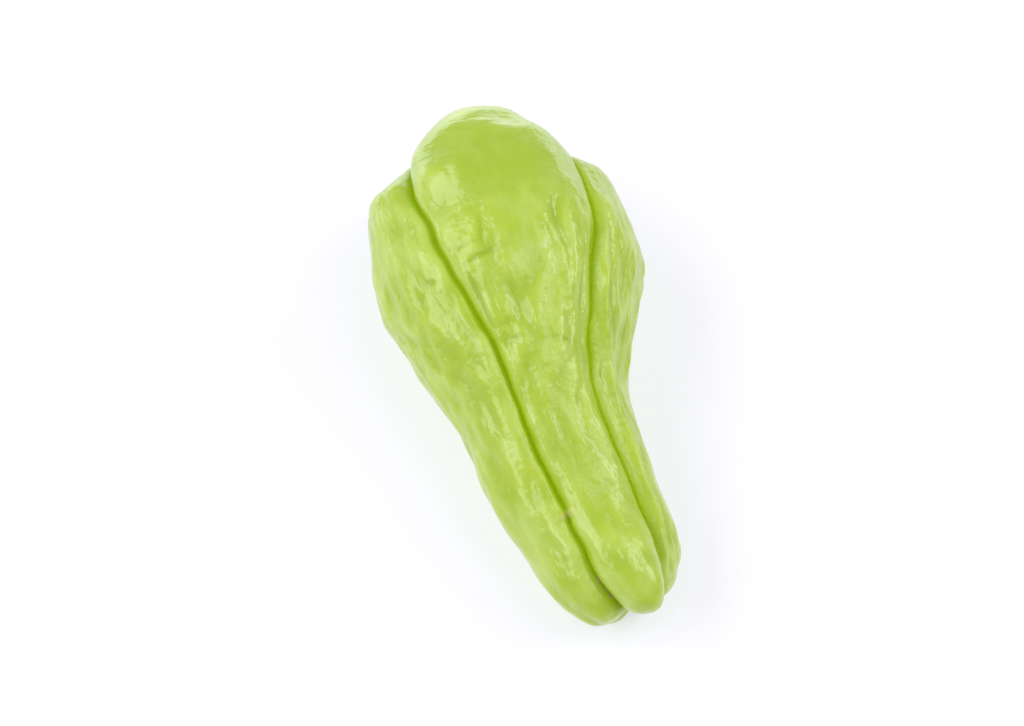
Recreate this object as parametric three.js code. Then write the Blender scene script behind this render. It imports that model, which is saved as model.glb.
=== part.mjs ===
// A chayote squash, picked, lying on its back: one solid fruit, pear-shaped and a little bent.
// Five lobes run from the stem end to the blossom end, pressed together along sharp furrows.
// The furrows meet in a small scar at the stem end. At the blossom end the broad upper lobe and
// the two lower ones close like lips over a crosswise mouth, and the side lobes end in its corners.
//
// Frame, in millimetres: +Y runs from the stem end to the blossom end, +X is to the right seen from
// the stem end, +Z is up, and the origin is on the table under the middle of the fruit.
// Angles round the fruit are in degrees, from the top towards +X.

import * as THREE from "three";

// The fruit's own line and girth at stations along its length, stem end first.
const LENGTH = 157;
const BODY = [
  // along, sideways, centre height, half width, half thickness
  [0, 2.5, 16.2, 17.5, 18],
  [18, -1.5, 18.4, 21.5, 19],
  [40, -7, 22.5, 24.5, 20.5],
  [64, -10.5, 26, 26.5, 23.5],
  [84, -10, 29, 33.5, 28.5],
  [104, -10, 31, 40, 32],
  [130, -10, 31, 39.5, 31.5],
  [157, -10.5, 30, 36, 30],
];
const STEM_CAP = 27; // length over which the stem end rounds off
const BLOSSOM_CAP = 46; // and the blossom end
const BLUNTNESS = 2.3; // 2 rounds the ends off as ellipses, more leaves them blunter

// The furrows, in turn round the fruit: the angle at stations along the length.
const FURROWS = [
  // left of the upper lobe
  [[0, -32], [12, -29], [26, -25], [62, -21], [92, -28], [118, -35], [130, -42], [145, -54], [157, -74]],
  // right of the upper lobe
  [[0, 54], [6, 47], [16, 41], [62, 38], [84, 38], [102, 41], [118, 45], [132, 51], [157, 72]],
  // under the right lobe
  [[0, 112], [30, 108], [70, 103], [92, 96], [112, 102], [140, 100], [157, 97]],
  // underneath
  [[0, 180], [40, 180], [90, 182], [157, 180]],
  // under the left lobe
  [[0, 254], [30, 252], [70, 251], [92, 251], [112, 250], [140, 256], [157, 263]],
];
const FURROW_SHAPES = [
  // depth on the neck, depth on the bulb, and how far from its line the skin has mostly risen again
  [2.2, 3.0, 1.1],
  [2.2, 3.2, 1.2],
  [3.0, 4.0, 2.0],
  [4.5, 6.5, 4.0],
  [3.0, 4.0, 2.0],
];
const FURROWS_DEEPEN = [60, 100]; // from the neck's depth to the bulb's
const LOBE_ROUNDNESS = 1.5; // how far the middle of a lobe bulges
const LOBE_FULLNESS = 2.6; // 2 is a round bulge, more is flatter on top
const POLE_FADE = 11; // lobes and furrows die away within this distance of either pole

// How far each lobe stands out of the rounded ends, starting with the upper lobe and going round.
// Each is followed by the stretch of the length that it grows over.
const STEM_REACH = [8, 0, 0, 2, 6];
const STEM_TIPS = [0, 30];
const STEM_PRESSED = 0.7; // the share of that reach that is left in the furrow between two lobes
const BLOSSOM_REACH = [6, 0, 3, 3, 6];
const BLOSSOM_TIPS = [LENGTH - 40, LENGTH - 6];
const CHEEK_SETBACK = [0, 8, 0, 0, 8]; // the side lobes end sooner, in the corners of the mouth
const CHEEK_ENDS = [LENGTH - 24, LENGTH - 2];

// Broad swells of the skin: height, length along the fruit, times round it, and where it starts.
const SWELLS = [
  [0.3, 59, 2, 40],
  [0.25, 41, -3, 210],
  [0.2, 27, 4, 200],
];

const SCAR_DEPTH = 6; // the dimple at the stem end
const SCAR_RADIUS = 7;
const MOUTH_DEPTH = 11; // the crosswise mouth at the blossom end
const MOUTH_HALF_WIDTH = 17;
const MOUTH_HALF_HEIGHT = 6;

const FLAT_SINK = 0.9; // how much of each low point is flat against the table

const COLUMNS_PER_LOBE = 15;
const RINGS = 66;

// A value read off a list of stations by a smooth cubic, held level past both ends.
function along(stations, y, column = 1) {
  const last = stations.length - 1;
  if (y <= stations[0][0]) return stations[0][column];
  if (y >= stations[last][0]) return stations[last][column];
  const i = stations.findIndex((row) => row[0] > y) - 1;
  const slope = (k) => {
    const a = stations[Math.max(k - 1, 0)];
    const b = stations[Math.min(k + 1, last)];
    return (b[column] - a[column]) / (b[0] - a[0]);
  };
  const span = stations[i + 1][0] - stations[i][0];
  const t = (y - stations[i][0]) / span;
  const near = stations[i][column] * (1 + 2 * t) * (1 - t) ** 2 + slope(i) * span * t * (1 - t) ** 2;
  const far = stations[i + 1][column] * (3 - 2 * t) * t ** 2 - slope(i + 1) * span * t ** 2 * (1 - t);
  return near + far;
}

const { smoothstep, lerp, degToRad } = THREE.MathUtils;

// The smooth pear under the lobes: polar runs from 0 at the stem end to pi at the blossom end.
function pearPoint(polar, angle) {
  const y = (LENGTH * (1 - Math.cos(polar))) / 2;
  const stemEnd = Math.max(0, 1 - y / STEM_CAP);
  const blossomEnd = Math.max(0, 1 - (LENGTH - y) / BLOSSOM_CAP);
  const closing = ((1 - stemEnd ** BLUNTNESS) * (1 - blossomEnd ** BLUNTNESS)) ** (1 / BLUNTNESS);
  return new THREE.Vector3(
    along(BODY, y, 1) + along(BODY, y, 3) * closing * Math.sin(angle),
    y,
    along(BODY, y, 2) + along(BODY, y, 4) * closing * Math.cos(angle),
  );
}

function pearNormal(polar, angle) {
  const step = 1e-3;
  const safe = Math.min(Math.max(polar, 2 * step), Math.PI - 2 * step);
  const down = pearPoint(safe + step, angle).sub(pearPoint(safe - step, angle));
  const round = pearPoint(safe, angle + step).sub(pearPoint(safe, angle - step));
  return round.cross(down).normalize();
}

function swell(y, angle) {
  let height = 0;
  for (const [size, length, round, start] of SWELLS)
    height += size * Math.sin((2 * Math.PI * y) / length + round * angle + degToRad(start));
  return height;
}

// How far the skin stands from the smooth pear: low in the furrows, full between them.
function relief(point, angle, lobe, share, lobeAngle) {
  const across = point.x - along(BODY, point.y, 1);
  const above = point.z - along(BODY, point.y, 2);
  const fromAxis = Math.hypot(across, above);
  const offPole = smoothstep(fromAxis, 0, POLE_FADE);
  const stem = 1 - smoothstep(point.y, ...STEM_TIPS);
  const blossom = smoothstep(point.y, ...BLOSSOM_TIPS);
  const cheek = smoothstep(point.y, ...CHEEK_ENDS);

  const lobeWidth = lobeAngle * fromAxis;
  const deepening = smoothstep(point.y, ...FURROWS_DEEPEN);
  const furrow = (number, distance) => {
    const [onNeck, onBulb, reach] = FURROW_SHAPES[number % FURROWS.length];
    return lerp(onNeck, onBulb, deepening) * Math.exp(-distance / reach) * offPole;
  };
  const furrows = furrow(lobe, share * lobeWidth) + furrow(lobe + 1, (1 - share) * lobeWidth);
  const beside = (lobe + (share < 0.5 ? FURROWS.length - 1 : 1)) % FURROWS.length;
  const between = STEM_PRESSED * Math.min(STEM_REACH[lobe], STEM_REACH[beside]) * stem * offPole;
  const tips = LOBE_ROUNDNESS + STEM_REACH[lobe] * stem - CHEEK_SETBACK[lobe] * cheek;
  const crest = tips * offPole + BLOSSOM_REACH[lobe] * blossom;
  const fullness = 1 - Math.abs(2 * share - 1) ** LOBE_FULLNESS;
  const lobes = lerp(between, crest, fullness) - LOBE_ROUNDNESS - furrows;

  const scar = SCAR_DEPTH * Math.exp(-((fromAxis / SCAR_RADIUS) ** 2)) * stem;
  const inMouth = Math.exp(-((across / MOUTH_HALF_WIDTH) ** 2) - (above / MOUTH_HALF_HEIGHT) ** 2);
  const mouth = MOUTH_DEPTH * inMouth * blossom;
  return lobes + swell(point.y, angle) * offPole - scar - mouth;
}

function skinPoint(polar, turn) {
  const lobe = Math.floor(turn) % FURROWS.length;
  const part = turn - Math.floor(turn);
  const share = (1 - Math.cos(Math.PI * part)) / 2;
  const y = (LENGTH * (1 - Math.cos(polar))) / 2;
  const from = along(FURROWS[lobe], y);
  const next = (lobe + 1) % FURROWS.length;
  const to = along(FURROWS[next], y) + (next === 0 ? 360 : 0);
  const angle = degToRad(lerp(from, to, share));
  const point = pearPoint(polar, angle);
  const stand = relief(point, angle, lobe, share, degToRad(to - from));
  return point.addScaledVector(pearNormal(polar, angle), stand);
}

function fruitGeometry() {
  const columns = COLUMNS_PER_LOBE * FURROWS.length;
  const points = [skinPoint(0, 0)];
  for (let ring = 1; ring < RINGS; ring++)
    for (let column = 0; column < columns; column++)
      points.push(skinPoint((Math.PI * ring) / RINGS, column / COLUMNS_PER_LOBE));
  points.push(skinPoint(Math.PI, 0));

  const faces = [];
  const at = (ring, column) => 1 + (ring - 1) * columns + (column % columns);
  const lastPoint = points.length - 1;
  for (let column = 0; column < columns; column++) {
    faces.push(0, at(1, column + 1), at(1, column));
    for (let ring = 1; ring < RINGS - 1; ring++) {
      faces.push(at(ring, column), at(ring, column + 1), at(ring + 1, column));
      faces.push(at(ring + 1, column), at(ring, column + 1), at(ring + 1, column + 1));
    }
    faces.push(lastPoint, at(RINGS - 1, column), at(RINGS - 1, column + 1));
  }

  const box = new THREE.Box3().setFromPoints(points);
  const middle = box.getCenter(new THREE.Vector3());
  for (const point of points) {
    point.x -= middle.x;
    point.y -= middle.y;
    point.z = Math.max(point.z - box.min.z - FLAT_SINK, 0);
  }
  const geometry = new THREE.BufferGeometry().setFromPoints(points);
  geometry.setIndex(faces);
  geometry.computeVertexNormals();
  return geometry;
}

const skin = new THREE.MeshStandardMaterial({ color: "#b3d35c", roughness: 0.4, metalness: 0 });
const squash = new THREE.Mesh(fruitGeometry(), skin);
squash.name = "chayote_squash";

const part = new THREE.Group();
part.add(squash);
export default part;
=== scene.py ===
import math

import bmesh
import bpy
import numpy as np
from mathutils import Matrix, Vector, noise


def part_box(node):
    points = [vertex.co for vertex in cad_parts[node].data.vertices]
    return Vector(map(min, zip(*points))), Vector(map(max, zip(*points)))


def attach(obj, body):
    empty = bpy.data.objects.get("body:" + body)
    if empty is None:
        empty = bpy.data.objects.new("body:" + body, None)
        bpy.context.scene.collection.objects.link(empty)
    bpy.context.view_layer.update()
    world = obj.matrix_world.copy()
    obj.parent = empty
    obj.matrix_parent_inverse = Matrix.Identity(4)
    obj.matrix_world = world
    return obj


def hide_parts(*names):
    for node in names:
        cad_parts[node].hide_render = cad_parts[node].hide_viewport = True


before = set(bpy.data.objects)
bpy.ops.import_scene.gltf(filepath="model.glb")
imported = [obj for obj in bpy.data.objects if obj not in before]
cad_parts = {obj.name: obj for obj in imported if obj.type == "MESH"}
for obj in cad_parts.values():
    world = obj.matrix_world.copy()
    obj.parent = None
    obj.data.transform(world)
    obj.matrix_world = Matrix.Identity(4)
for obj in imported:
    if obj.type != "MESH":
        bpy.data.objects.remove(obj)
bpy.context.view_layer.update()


# ---- The fruit ----
# One whole chayote: a thin waxy skin over pale crisp flesh, grown as five lobes that press together
# along furrows. It is one piece, and nothing holds it: it lies on its two back lobes and its neck.
#
# Lengths are in millimetres and angles in degrees, from the top towards +X. The values down to
# FLAT_SINK are those of the solid that this piece stands for.

MM = 0.001
LENGTH = 157
BODY = [
    # along, sideways, centre height, half width, half thickness
    (0, 2.5, 16.2, 17.5, 18),
    (18, -1.5, 18.4, 21.5, 19),
    (40, -7, 22.5, 24.5, 20.5),
    (64, -10.5, 26, 26.5, 23.5),
    (84, -10, 29, 33.5, 28.5),
    (104, -10, 31, 40, 32),
    (130, -10, 31, 39.5, 31.5),
    (157, -10.5, 30, 36, 30),
]
STEM_CAP = 27  # length over which the stem end rounds off
BLOSSOM_CAP = 46  # and the blossom end
BLUNTNESS = 2.3  # 2 rounds the ends off as ellipses, more leaves them blunter

# The furrows, in turn round the fruit: the angle at stations along the length.
FURROWS = [
    # left of the upper lobe
    [(0, -32), (12, -29), (26, -25), (62, -21), (92, -28), (118, -35), (130, -42), (145, -54), (157, -74)],
    # right of the upper lobe
    [(0, 54), (6, 47), (16, 41), (62, 38), (84, 38), (102, 41), (118, 45), (132, 51), (157, 72)],
    # under the right lobe
    [(0, 112), (30, 108), (70, 103), (92, 96), (112, 102), (140, 100), (157, 97)],
    # underneath
    [(0, 180), (40, 180), (90, 182), (157, 180)],
    # under the left lobe
    [(0, 254), (30, 252), (70, 251), (92, 251), (112, 250), (140, 256), (157, 263)],
]
LOBES = len(FURROWS)
FURROW_SHAPES = [
    # depth on the neck, depth on the bulb, how far from its line the skin has mostly risen again
    (2.2, 3.0, 1.1),
    (2.2, 3.2, 1.2),
    (3.0, 4.0, 2.0),
    (4.5, 6.5, 4.0),
    (3.0, 4.0, 2.0),
]
FURROWS_DEEPEN = (60, 100)  # from the neck's depth to the bulb's
LOBE_ROUNDNESS = 1.5  # how far the middle of a lobe bulges
LOBE_FULLNESS = 2.6  # 2 is a round bulge, more is flatter on top
POLE_FADE = 11  # lobes and furrows die away within this distance of either pole

# How far each lobe stands out of the rounded ends, starting with the upper lobe and going round.
# Each is followed by the stretch of the length that it grows over.
STEM_REACH = np.array([8, 0, 0, 2, 6])
STEM_TIPS = (0, 30)
STEM_PRESSED = 0.7  # the share of that reach that is left in the furrow between two lobes
BLOSSOM_REACH = np.array([6, 0, 3, 3, 6])
BLOSSOM_TIPS = (LENGTH - 40, LENGTH - 6)
CHEEK_SETBACK = np.array([0, 8, 0, 0, 8])  # the side lobes end sooner, in the corners of the mouth
CHEEK_ENDS = (LENGTH - 24, LENGTH - 2)

# Broad swells of the skin: height, length along the fruit, times round it, and where it starts.
SWELLS = [
    (0.3, 59, 2, 40),
    (0.25, 41, -3, 210),
    (0.2, 27, 4, 200),
]

SCAR_DEPTH = 6  # the dimple at the stem end
SCAR_RADIUS = 7
MOUTH_DEPTH = 11  # the crosswise mouth at the blossom end
MOUTH_HALF_WIDTH = 17
MOUTH_HALF_HEIGHT = 6
FLAT_SINK = 0.9  # how much of each low point is flat against the table

AROUND = 360  # vertices round the fruit, a multiple of 8 and of the lobes
RINGS = 270  # and rings along it: just under 200,000 triangles
CLUSTERING = 0.4  # how far the vertices of a lobe crowd towards its furrows, from 0 to 1


def along(stations, y, column=1):
    """A value read off a list of stations by a smooth cubic, held level past both ends."""
    rows = np.array(stations, float)
    place, value = rows[:, 0], rows[:, column]
    last = len(rows) - 1
    behind = np.maximum(np.arange(last + 1) - 1, 0)
    ahead = np.minimum(np.arange(last + 1) + 1, last)
    slope = (value[ahead] - value[behind]) / (place[ahead] - place[behind])
    i = np.clip(np.searchsorted(place, y, side="right") - 1, 0, last - 1)
    span = place[i + 1] - place[i]
    t = np.clip((y - place[i]) / span, 0, 1)
    near = value[i] * (1 + 2 * t) * (1 - t) ** 2 + slope[i] * span * t * (1 - t) ** 2
    far = value[i + 1] * (3 - 2 * t) * t**2 - slope[i + 1] * span * t**2 * (1 - t)
    return near + far


def smoothstep(value, low, high):
    t = np.clip((value - low) / (high - low), 0, 1)
    return t * t * (3 - 2 * t)


def lerp(low, high, share):
    return low + (high - low) * share


def pear(polar, angle):
    """The smooth pear under the lobes: polar is 0 at the stem end and pi at the blossom end."""
    y = LENGTH * (1 - np.cos(polar)) / 2
    stem_end = np.maximum(0, 1 - y / STEM_CAP)
    blossom_end = np.maximum(0, 1 - (LENGTH - y) / BLOSSOM_CAP)
    closing = ((1 - stem_end**BLUNTNESS) * (1 - blossom_end**BLUNTNESS)) ** (1 / BLUNTNESS)
    across = along(BODY, y, 3) * closing * np.sin(angle)
    above = along(BODY, y, 4) * closing * np.cos(angle)
    return np.stack([along(BODY, y, 1) + across, y, along(BODY, y, 2) + above], axis=1)


def pear_normal(polar, angle):
    step = 1e-3
    safe = np.clip(polar, 2 * step, math.pi - 2 * step)
    down = pear(safe + step, angle) - pear(safe - step, angle)
    around = pear(safe, angle + step) - pear(safe, angle - step)
    normal = np.cross(around, down)
    return normal / np.linalg.norm(normal, axis=1, keepdims=True)


def swell(y, angle):
    height = 0
    for size, length, times_round, start in SWELLS:
        phase = 2 * math.pi * y / length + times_round * angle + math.radians(start)
        height = height + size * np.sin(phase)
    return height


def lumps(places, size, seed):
    """Smooth noise from about -1 to 1, with lumps of that size in millimetres."""
    cells = (places / size + seed).tolist()
    return np.array([noise.noise(cell, noise_basis="PERLIN_NEW") for cell in cells])


fruit_bm = bmesh.new()
bmesh.ops.create_uvsphere(fruit_bm, u_segments=AROUND // 2, v_segments=RINGS // 2, radius=1)
bmesh.ops.subdivide_edges(fruit_bm, edges=fruit_bm.edges, cuts=1, use_grid_fill=True)
sphere = np.array([vertex.co.normalized() for vertex in fruit_bm.verts])

# Where each vertex is on the fruit: how far along, which lobe, and its share of the lobe's width.
polar = np.arccos(np.clip(-sphere[:, 2], -1, 1))
column = np.round(np.arctan2(sphere[:, 1], sphere[:, 0]) / (2 * math.pi) * AROUND) % AROUND
lobe = (column * LOBES // AROUND).astype(int)
even_share = column * LOBES / AROUND - lobe
share = even_share - CLUSTERING * np.sin(2 * math.pi * even_share) / (2 * math.pi)
y = LENGTH * (1 - np.cos(polar)) / 2
furrow_angles = np.stack([along(stations, y) for stations in FURROWS] + [along(FURROWS[0], y) + 360])
every = np.arange(len(y))
angle_from = furrow_angles[lobe, every]
angle_to = furrow_angles[lobe + 1, every]
angle = np.radians(lerp(angle_from, angle_to, share))
smooth = pear(polar, angle)

across = smooth[:, 0] - along(BODY, y, 1)
above = smooth[:, 2] - along(BODY, y, 2)
from_axis = np.hypot(across, above)
off_pole = smoothstep(from_axis, 0, POLE_FADE)
stem = 1 - smoothstep(y, *STEM_TIPS)
blossom = smoothstep(y, *BLOSSOM_TIPS)
cheek = smoothstep(y, *CHEEK_ENDS)

# The furrow on each side of a vertex, and the millimetres of skin between them.
lobe_width = np.radians(angle_to - angle_from) * from_axis
both_furrows = (
    (lobe, share * lobe_width),
    ((lobe + 1) % LOBES, (1 - share) * lobe_width),
)
from_furrow = np.minimum(share, 1 - share) * lobe_width

# No furrow runs quite true: each wanders a little to either side of its line.
WANDER = 1.2
WANDER_LENGTH = 9
WANDER_REACH = 5  # the skin follows its furrow this far to either side
NOISE_APART = 100.0  # so that each furrow goes its own way
sideways = 0
for furrow, distance in both_furrows:
    line = np.stack([y, NOISE_APART * furrow, 0 * y], axis=1)
    swing = WANDER * lumps(line, WANDER_LENGTH, seed=5.6)
    sideways = sideways + swing * np.exp(-((distance / WANDER_REACH) ** 2))
angle = angle + sideways * off_pole / np.maximum(from_axis, 1)
smooth = pear(polar, angle)

deepening = smoothstep(y, *FURROWS_DEEPEN)
valley = 0
for furrow, distance in both_furrows:
    on_neck, on_bulb, reach = np.array(FURROW_SHAPES)[furrow].T
    valley = valley + lerp(on_neck, on_bulb, deepening) * np.exp(-distance / reach) * off_pole
beside = (lobe + np.where(share < 0.5, -1, 1)) % LOBES
between = STEM_PRESSED * np.minimum(STEM_REACH[lobe], STEM_REACH[beside]) * stem * off_pole
tips = LOBE_ROUNDNESS + STEM_REACH[lobe] * stem - CHEEK_SETBACK[lobe] * cheek
crest = tips * off_pole + BLOSSOM_REACH[lobe] * blossom
fullness = 1 - np.abs(2 * share - 1) ** LOBE_FULLNESS
scar = SCAR_DEPTH * np.exp(-((from_axis / SCAR_RADIUS) ** 2)) * stem
in_mouth = np.exp(-((across / MOUTH_HALF_WIDTH) ** 2) - (above / MOUTH_HALF_HEIGHT) ** 2)
mouth = MOUTH_DEPTH * in_mouth * blossom
lobes = lerp(between, crest, fullness) - LOBE_ROUNDNESS - valley
form = lobes + swell(y, angle) * off_pole - scar - mouth

# The skin straightened out: lengthwise ridges and streaks keep to the lobes as the fruit bends.
turn = lobe + share
around = 2 * math.pi * turn / LOBES
straight = np.stack([from_axis * np.sin(around), y, from_axis * np.cos(around)], axis=1)

# The tight fold at the bottom of each furrow. The one right of the upper lobe is filled in a little.
FOLD_DEPTHS = np.array([0.15, -0.7, 0.15, 0.15, 0.15])
FOLD_WIDTH = 0.8

# Lengthwise ridges, and puckers: low domes with soft creases between them.
RIDGE_STRETCH = 3.5  # the ridges are this many times longer than wide
RIDGE_WIDTH = 8
RIDGE_HEIGHT = 0.8
FINE_RIDGE_WIDTH = 3.2
FINE_RIDGE_HEIGHT = 0.6
PUCKER_STRETCH = 2
PUCKER_SIZE = 7
PUCKER_HEIGHT = 1.1
PUCKER_CREASE = 0.08  # how soft a crease's bottom is, as a share of the noise's height
PUCKER_LEVEL = 0.25  # how much of a dome is below the skin's own level, likewise

# All of these are strongest at the waist, where the neck widens into the bulb. They fade to the last
# three shares of their height on the blossom end, and part of the way there on the neck.
WAIST = (34, 66, 104, 124)  # they grow over the first stretch and fade over the second
NECK_SHARE = 0.4  # how much of the waist's extra strength the neck has
RIDGES_LEFT = 0.45
FINE_RIDGES_LEFT = 0.35
PUCKERS_LEFT = 0.45

END_LUMP_SIZE = 15  # uneven lumps of the blossom end
END_LUMP_HEIGHT = 2.2
END_LUMP_SINK = 0.4  # mostly hollows, so that they don't add to the fruit's length
END_LUMPS_GROW = (112, 140)
FURROW_BANK = 4  # all of these, and the welt, fade out over this last stretch to a furrow
SETBACK = 0.5  # keeps what stands out of the skin within the fruit's own size

# The rounded welt down the right lobe: its turn at stations along the length.
WELT = [(12, 1.09), (30, 1.16), (52, 1.2), (67, 1.22), (83, 1.12), (104, 1.06)]
WELT_LOBE = 1
WELT_RISES = (6, 16)
WELT_DIES_AWAY = (100, 112)
WELT_HALF_WIDTH = 1.8
WELT_HEIGHT = 1.6

# Dents, and bumps where the depth is below nothing: along, turn, half length, half width, lean, depth.
DENTS = [
    (84.8, 0.34, 8, 1.6, 0, 1.0),
    (110, 0.72, 4, 1.6, 0, 0.7),
    (96, 0.22, 6, 5, 0, -0.7),
    (102, 0.76, 3, 1.6, 10, 0.8),
    (116, 0.72, 5, 2, 0, 0.5),
    (57.4, 0.68, 5, 1.6, 0, 0.7),
    (48, 4.58, 8, 3, 0, 0.6),
    (47, 0.4, 9, 1.6, 0, 0.6),
    (140, 0.22, 5, 5, 0, 0.6),
    (146, 0.63, 3, 4, 0, 1.0),
    (29, 0, 10, 1.4, 0, 0.3),
    (22, 1, 9, 1.4, 0, 0.3),
    (28, 0, 1.1, 2, 15, -1.2),
    (19, 0.42, 8, 1.5, 4, -0.5),
]
# Thin creases in the same terms, but for their width, which is the same for all.
CREASES = [
    (102.1, 0.19, 3.2, -76, 0.65),
    (102.9, 0.28, 2.8, -88, 0.6),
    (92.0, 0.095, 9, -3, 0.6),
    (109.5, 0.275, 4.5, -11, 0.55),
    (77.3, 0.22, 3, -78, 0.5),
    (74.8, 0.67, 3, 74, 0.5),
    (82.5, 0.21, 2.4, -88, 0.4),
    (100.4, 4.84, 2.6, 84, 0.6),
    (97.5, 4.76, 1.8, -40, 0.4),
    (107.0, 0.15, 3, 89, 0.4),
]
CREASE_HALF_WIDTH = 0.65


def lay(at, turned, half_length, half_width, lean):
    """A soft spot on the skin: 1 in its middle, gone about two half sizes out."""
    lengthwise = y - at
    crosswise = ((turn - turned + LOBES / 2) % LOBES - LOBES / 2) * lobe_width
    cos, sin = math.cos(math.radians(lean)), math.sin(math.radians(lean))
    u = lengthwise * cos - crosswise * sin
    v = lengthwise * sin + crosswise * cos
    return np.exp(-((u / half_length) ** 2) - (v / half_width) ** 2)


nearest = (lobe + (share > 0.5)) % LOBES
fold = FOLD_DEPTHS[nearest] * np.exp(-((from_furrow / FOLD_WIDTH) ** 2))
waist = lerp(NECK_SHARE, 1, smoothstep(y, *WAIST[:2])) * (1 - smoothstep(y, *WAIST[2:]))
ridge_grain = straight * (1, 1 / RIDGE_STRETCH, 1)
ridges = RIDGE_HEIGHT * lumps(ridge_grain, RIDGE_WIDTH, seed=3.1)
ridges = ridges * lerp(RIDGES_LEFT, 1, waist)
fine_ridges = FINE_RIDGE_HEIGHT * lumps(ridge_grain, FINE_RIDGE_WIDTH, seed=7.7)
fine_ridges = fine_ridges * lerp(FINE_RIDGES_LEFT, 1, waist)
pucker_grain = straight * (1, 1 / PUCKER_STRETCH, 1)
pucker = np.hypot(lumps(pucker_grain, PUCKER_SIZE, seed=11.3), PUCKER_CREASE)
puckers = PUCKER_HEIGHT * (pucker - PUCKER_LEVEL) * lerp(PUCKERS_LEFT, 1, waist)
end_lumps = END_LUMP_HEIGHT * (lumps(straight, END_LUMP_SIZE, seed=4.4) - END_LUMP_SINK)
end_lumps = end_lumps * smoothstep(y, *END_LUMPS_GROW)
from_welt = (turn - along(WELT, y)) * lobe_width / WELT_HALF_WIDTH
welt_run = smoothstep(y, *WELT_RISES) * (1 - smoothstep(y, *WELT_DIES_AWAY))
welt = WELT_HEIGHT * np.exp(-(from_welt**2)) * welt_run * (lobe == WELT_LOBE)
skin_lumps = ridges + fine_ridges + puckers + end_lumps + welt
dents = sum(depth * lay(*spot) for *spot, depth in DENTS)
creases = sum(
    depth * lay(at, turned, half_length, CREASE_HALF_WIDTH, lean)
    for at, turned, half_length, lean, depth in CREASES
)
relief = skin_lumps * smoothstep(from_furrow, 0, FURROW_BANK) - dents - creases
fine = (relief - fold - SETBACK) * off_pole

# Cork: the dry brown line where the left furrow runs out, a nick across it, and the stem scar.
CORK_HALF_WIDTH = 0.7
CORK_RUNS_OUT = (9, 14)
CORK_SPECK = 1.6  # the line is broken into specks of this size
CORK_SPECKS = (-0.2, 0.4)  # between these heights of the noise, bare skin turns to cork
NICK = (28, 0, 0.8, 2.2, 15)  # in the terms of a dent
NICK_STRENGTH = 0.7
SCAR_CORK_RADIUS = 3
beside_left_furrow = np.abs((turn + 1) % LOBES - 1) < 0.5  # that furrow's turn is 0
specks = smoothstep(lumps(straight, CORK_SPECK, seed=9.2), *CORK_SPECKS)
cork_line = np.exp(-((from_furrow / CORK_HALF_WIDTH) ** 2)) * beside_left_furrow
cork_line = cork_line * (1 - smoothstep(y, *CORK_RUNS_OUT)) * specks
cork_scar = np.exp(-((from_axis / SCAR_CORK_RADIUS) ** 2)) * stem
cork = np.clip(cork_line + NICK_STRENGTH * lay(*NICK) + cork_scar, 0, 1)

normal = pear_normal(polar, angle)
form_points = smooth + normal * form[:, None]
points = form_points + normal * fine[:, None]
low, high = form_points.min(0), form_points.max(0)
origin = np.array([(low[0] + high[0]) / 2, (low[1] + high[1]) / 2, low[2] + FLAT_SINK])
places = np.clip((points - origin) * MM, *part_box("chayote_squash"))
for vertex, place in zip(fruit_bm.verts, places.tolist()):
    vertex.co = place

# What the skin's material reads: each is a value at every vertex.
FURROW_TINT_WIDTH = 1.2
fruit_mesh = bpy.data.meshes.new("chayote_fruit")
fruit_bm.to_mesh(fruit_mesh)
fruit_bm.free()
fruit_mesh.shade_smooth()
for name, values in {
    # furrow: a mask along each furrow, for the painted shade there and for the dull wax
    "furrow": np.exp(-((from_furrow / FURROW_TINT_WIDTH) ** 2)) * off_pole,
    # relief: the skin's height, which also sets painted shade in the hollows
    "relief": relief,
    # crease: the creases' depth, which also sets their painted shade
    "crease": creases,
    "cork": cork,
}.items():
    fruit_mesh.attributes.new(name, "FLOAT", "POINT").data.foreach_set("value", values.astype(np.float32))
grain = fruit_mesh.attributes.new("straight", "FLOAT_VECTOR", "POINT")
grain.data.foreach_set("vector", (straight * MM).astype(np.float32).ravel())
fruit = bpy.data.objects.new("chayote_fruit", fruit_mesh)
bpy.context.scene.collection.objects.link(fruit)


def linear(hex_colour):
    """An sRGB hex colour as the linear RGBA that a socket takes."""
    channels = [int(hex_colour[i : i + 2], 16) / 255 for i in (1, 3, 5)]
    return [c / 12.92 if c <= 0.04045 else ((c + 0.055) / 1.055) ** 2.4 for c in channels] + [1]


def add(tree, kind, inputs=None, **settings):
    """Adds a node. Each input is a value, or the output of another node to link it to."""
    node = tree.nodes.new(kind)
    for name, value in settings.items():
        setattr(node, name, value)
    for key, value in (inputs or {}).items():
        if isinstance(value, bpy.types.NodeSocket):
            tree.links.new(value, node.inputs[key])
        else:
            node.inputs[key].default_value = value
    return node


# Chayote skin: living plant skin with a thin coat of natural wax, over pale flesh that glows a
# little. The wax gives a soft broad sheen with small sharp lights where the skin is tight.
STREAK_WIDTH = 4.5
STREAK_GRAIN = (1, 0.3, 1)  # a lengthwise scale under 1 draws a pattern out along the fruit
STREAKS_SHOW = (0.4, 0.68)  # the noise's heights where they start and where they are full
MOTTLE_SIZE = 11
MOTTLE_SHOWS = (0.42, 0.7)  # likewise
HOLLOW_SHADE = (0.05, -0.55)  # the skin's height where the painted shade of the hollows starts, and where it is full
HOLLOW_SHADE_MOST = 0.6
CREASE_SHADE = 1.6  # painted shade along the thin creases, for each millimetre of a crease's depth

WRINKLE_SIZE = 3.2
WRINKLE_GRAIN = (1, 0.45, 1)
WRINKLE_MIDDLE = 0.5  # of the noise, where its folds lie
FOLD_BOTTOM = (0.02, 0.03)  # how high and how soft the bottom of a fold is
RIPPLE_SIZE = 2.6
RIPPLE_GRAIN = (1, 1.3, 1)  # and one over 1 squeezes it, so that ripples lie across
RIPPLE_SHARE = 0.35  # against the wrinkles
BUMP_STRENGTH = 0.6
BUMP_HEIGHT = 1.0  # for the noise's whole height
WAX = 0.68  # the weight of the wax coat
SHINE = 0.5  # and the gloss of the skin under it

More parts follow.
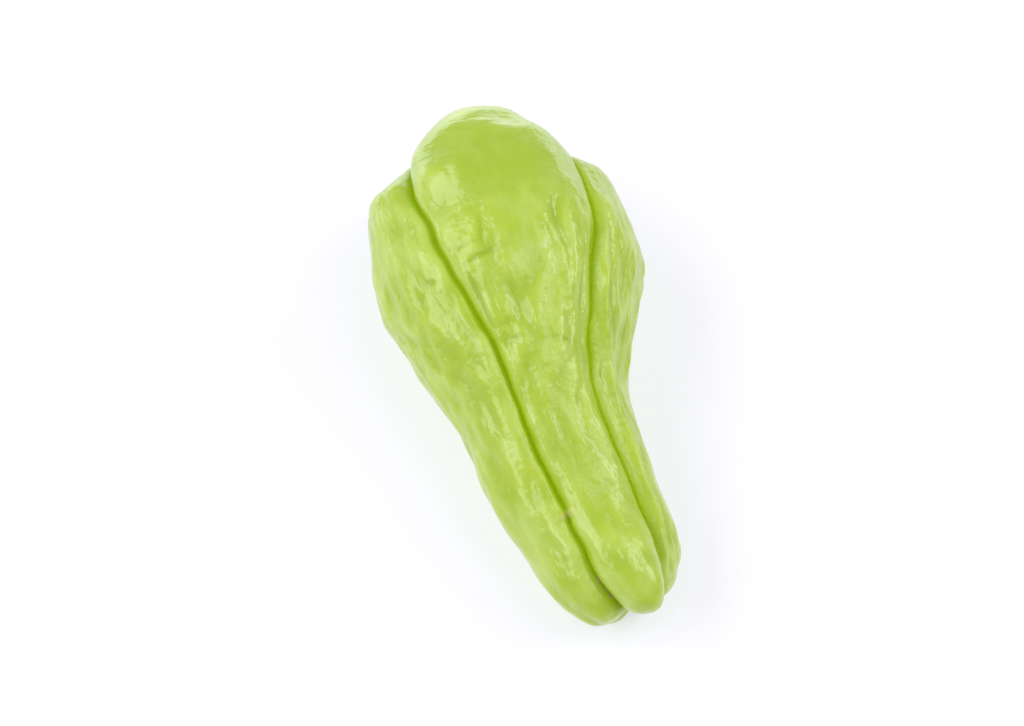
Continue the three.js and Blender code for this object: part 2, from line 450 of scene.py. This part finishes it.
skin = bpy.data.materials.new("waxy_chayote_skin")
skin.use_nodes = True
tree = skin.node_tree
tree.nodes.clear()
furrow = add(tree, "ShaderNodeAttribute", attribute_name="furrow").outputs["Fac"]
height = add(tree, "ShaderNodeAttribute", attribute_name="relief").outputs["Fac"]
crease = add(tree, "ShaderNodeAttribute", attribute_name="crease").outputs["Fac"]
cork = add(tree, "ShaderNodeAttribute", attribute_name="cork").outputs["Fac"]
place = add(tree, "ShaderNodeAttribute", attribute_name="straight").outputs["Vector"]

drawn_out = add(tree, "ShaderNodeMapping", {"Vector": place, "Scale": STREAK_GRAIN}).outputs[0]
streaks = add(
    tree, "ShaderNodeTexNoise", {"Vector": drawn_out, "Scale": 1 / (STREAK_WIDTH * MM), "Detail": 4}
).outputs[0]
streak_share = add(
    tree,
    "ShaderNodeMapRange",
    {"Value": streaks, "From Min": STREAKS_SHOW[0], "From Max": STREAKS_SHOW[1]},
    interpolation_type="SMOOTHSTEP",
).outputs[0]
mottle = add(
    tree, "ShaderNodeTexNoise", {"Vector": place, "Scale": 1 / (MOTTLE_SIZE * MM), "Detail": 4}
).outputs[0]
green_share = add(
    tree,
    "ShaderNodeMapRange",
    {"Value": mottle, "From Min": MOTTLE_SHOWS[0], "From Max": MOTTLE_SHOWS[1]},
    interpolation_type="SMOOTHSTEP",
).outputs[0]
# Painted shade: where the relief is low, in the hollows, the skin is tinted darker green.
hollow_shade_share = add(
    tree,
    "ShaderNodeMapRange",
    {"Value": height, "From Min": HOLLOW_SHADE[0], "From Max": HOLLOW_SHADE[1], "To Max": HOLLOW_SHADE_MOST},
).outputs[0]
# Painted shade: the thin creases are tinted darker green, the deeper the darker.
crease_shade_share = add(
    tree, "ShaderNodeMath", {0: crease, 1: CREASE_SHADE}, operation="MULTIPLY", use_clamp=True
).outputs[0]

# Each tint lies over the ones before it. The sockets of a colour's Mix node are its factor, 0, and
# its two colours, 6 and 7.
base = linear("#b4cc38")  # ripe yellow-green
for tint_share, tint in (
    (green_share, "#a5c226"),  # greener clouds
    (streak_share, "#bcd45c"),  # pale streaks
    (hollow_shade_share, "#a0bd22"),  # painted shade: darker green in the hollows
    (furrow, "#adcb14"),  # painted shade: a more saturated, slightly darker olive down each furrow
    # painted shade: darker green along the thin creases
    (crease_shade_share, "#9cb80c"),
    (cork, "#c2b478"),
):
    colours = {0: tint_share, 6: base, 7: linear(tint)}
    base = add(tree, "ShaderNodeMix", colours, data_type="RGBA").outputs[2]

# The bump: fine folds of the wrinkled skin, and faint ripples.
wrinkled = add(tree, "ShaderNodeMapping", {"Vector": place, "Scale": WRINKLE_GRAIN}).outputs[0]
wrinkles = add(
    tree, "ShaderNodeTexNoise", {"Vector": wrinkled, "Scale": 1 / (WRINKLE_SIZE * MM), "Detail": 2}
).outputs[0]
folds = add(tree, "ShaderNodeMath", {0: wrinkles, 1: WRINKLE_MIDDLE}, operation="SUBTRACT").outputs[0]
folds = add(tree, "ShaderNodeMath", {0: folds}, operation="ABSOLUTE").outputs[0]
folds = add(
    tree, "ShaderNodeMath", {0: folds, 1: FOLD_BOTTOM[0], 2: FOLD_BOTTOM[1]}, operation="SMOOTH_MAX"
).outputs[0]
rippled = add(tree, "ShaderNodeMapping", {"Vector": place, "Scale": RIPPLE_GRAIN}).outputs[0]
ripples = add(
    tree, "ShaderNodeTexNoise", {"Vector": rippled, "Scale": 1 / (RIPPLE_SIZE * MM), "Detail": 1}
).outputs[0]
bumps = add(
    tree, "ShaderNodeMath", {0: ripples, 1: RIPPLE_SHARE, 2: folds}, operation="MULTIPLY_ADD"
).outputs[0]
rough_skin = add(
    tree, "ShaderNodeBump", {"Strength": BUMP_STRENGTH, "Distance": BUMP_HEIGHT * MM, "Height": bumps}
).outputs[0]

# Down in the furrows the wax is dull.
gloss = add(tree, "ShaderNodeMath", {0: 1.0, 1: furrow}, operation="SUBTRACT", use_clamp=True).outputs[0]
wax = add(tree, "ShaderNodeMath", {0: gloss, 1: WAX}, operation="MULTIPLY").outputs[0]
shine = add(tree, "ShaderNodeMath", {0: gloss, 1: SHINE}, operation="MULTIPLY").outputs[0]

surface = add(
    tree,
    "ShaderNodeBsdfPrincipled",
    {
        "Normal": rough_skin,
        "Coat Normal": rough_skin,
        "Base Color": base,
        "Roughness": 0.38,
        "IOR": 1.45,  # plant wax
        "Subsurface Weight": 0.25,
        "Subsurface Radius": (0.9, 1.0, 0.25),  # red and green light go deeper than blue
        "Subsurface Scale": 2.5 * MM,
        "Specular IOR Level": shine,
        "Coat Weight": wax,
        "Coat Roughness": 0.18,
        "Sheen Weight": 0.05,
        "Sheen Roughness": 0.4,
    },
)
add(tree, "ShaderNodeOutputMaterial", {"Surface": surface.outputs[0]})
fruit_mesh.materials.append(skin)

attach(fruit, "root")
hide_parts("chayote_squash")


# ---- The table ----
# A wide light table that the fruit rests on: one plain sheet of opal acrylic, without a seam. It
# isn't part of the fruit. From here on, lengths are in metres.

TABLE_SIZE = 6.0
table_bm = bmesh.new()
bmesh.ops.create_grid(table_bm, x_segments=1, y_segments=1, size=TABLE_SIZE / 2)
table_mesh = bpy.data.meshes.new("table")
table_bm.to_mesh(table_mesh)
table_bm.free()
table = bpy.data.objects.new("table", table_mesh)
bpy.context.scene.collection.objects.link(table)

# Opal acrylic, sanded matt and lit from below: softly under the fruit, brightly behind it, and hardly
# at all far off, where the table is as grey as the room.
GLOW_UNDER = 0.56
GLOW_BEHIND = 1.9
BEHIND = (0.11, 0.25)  # it brightens between these distances behind the fruit's middle
GLOW_FAR = 0.26
FAR = (0.4, 0.75)  # and dims between these, all round

acrylic = bpy.data.materials.new("matt_opal_acrylic")
acrylic.use_nodes = True
tree = acrylic.node_tree
spot = add(tree, "ShaderNodeTexCoord").outputs["Object"]
behind = add(tree, "ShaderNodeSeparateXYZ", {0: spot}).outputs["Y"]
glow = add(
    tree,
    "ShaderNodeMapRange",
    {
        "Value": behind,
        "From Min": BEHIND[0],
        "From Max": BEHIND[1],
        "To Min": GLOW_UNDER,
        "To Max": GLOW_BEHIND,
    },
    interpolation_type="SMOOTHSTEP",
).outputs[0]
away = add(tree, "ShaderNodeVectorMath", {0: spot}, operation="LENGTH").outputs["Value"]
far = add(
    tree,
    "ShaderNodeMapRange",
    {"Value": away, "From Min": FAR[0], "From Max": FAR[1]},
    interpolation_type="SMOOTHSTEP",
).outputs[0]
glow = add(tree, "ShaderNodeMix", {0: far, 2: glow, 3: GLOW_FAR}, data_type="FLOAT").outputs[0]
opal = tree.nodes["Principled BSDF"]
opal.inputs["Base Color"].default_value = linear("#bebac2")
opal.inputs["Roughness"].default_value = 0.8
opal.inputs["Emission Color"].default_value = linear("#f4f6ff")
tree.links.new(glow, opal.inputs["Emission Strength"])
table_mesh.materials.append(acrylic)


# ---- Light and camera ----
# Three oval soft boxes on stands in a dim, even room: a large one on the left, and two smaller ones
# on the right. The camera looks down from above the stem end through a long lens.

LIT_POINT = Vector((0, 0, 0.03))
SOFT_BOXES = [
    # name, azimuth, elevation, distance, width, height, watts
    ("left_box", -104, 46, 1.3, 1.6, 0.9, 9.6),
    ("right_box", 90, 43, 1.2, 1.15, 0.38, 4.6),
    ("top_box", 62, 68, 1.2, 0.5, 0.5, 1.2),
]


def aim(thing, target, azimuth, elevation, distance):
    """Puts a thing round the fruit, facing it: azimuth 0 is in front of the stem end."""
    turned, rise = math.radians(azimuth), math.radians(elevation)
    level = math.cos(rise)
    out = Vector((math.sin(turned) * level, -math.cos(turned) * level, math.sin(rise)))
    thing.location = target + out * distance
    thing.rotation_euler = out.to_track_quat("Z", "Y").to_euler()


for name, azimuth, elevation, distance, width, height, watts in SOFT_BOXES:
    light = bpy.data.lights.new(name, "AREA")
    light.shape = "ELLIPSE"
    light.size = width
    light.size_y = height
    light.energy = watts
    lamp = bpy.data.objects.new(name, light)
    bpy.context.scene.collection.objects.link(lamp)
    aim(lamp, LIT_POINT, azimuth, elevation, distance)

room = bpy.data.worlds.new("dim_room")
room.use_nodes = True
background = room.node_tree.nodes["Background"]
background.inputs["Color"].default_value = linear("#ffffff")
background.inputs["Strength"].default_value = 0.5
bpy.context.scene.world = room

LENS = 108.7  # millimetres
VIEW = (-13.5, 65)  # azimuth and elevation
VIEW_DISTANCE = 0.9
VIEW_CENTRE = Vector((-0.006, 0.0008, 0.031))
camera_data = bpy.data.cameras.new("camera")
camera_data.lens = LENS
camera = bpy.data.objects.new("camera", camera_data)
bpy.context.scene.collection.objects.link(camera)
aim(camera, VIEW_CENTRE, *VIEW, VIEW_DISTANCE)
bpy.context.scene.camera = camera
bpy.context.scene.view_settings.view_transform = "Standard"
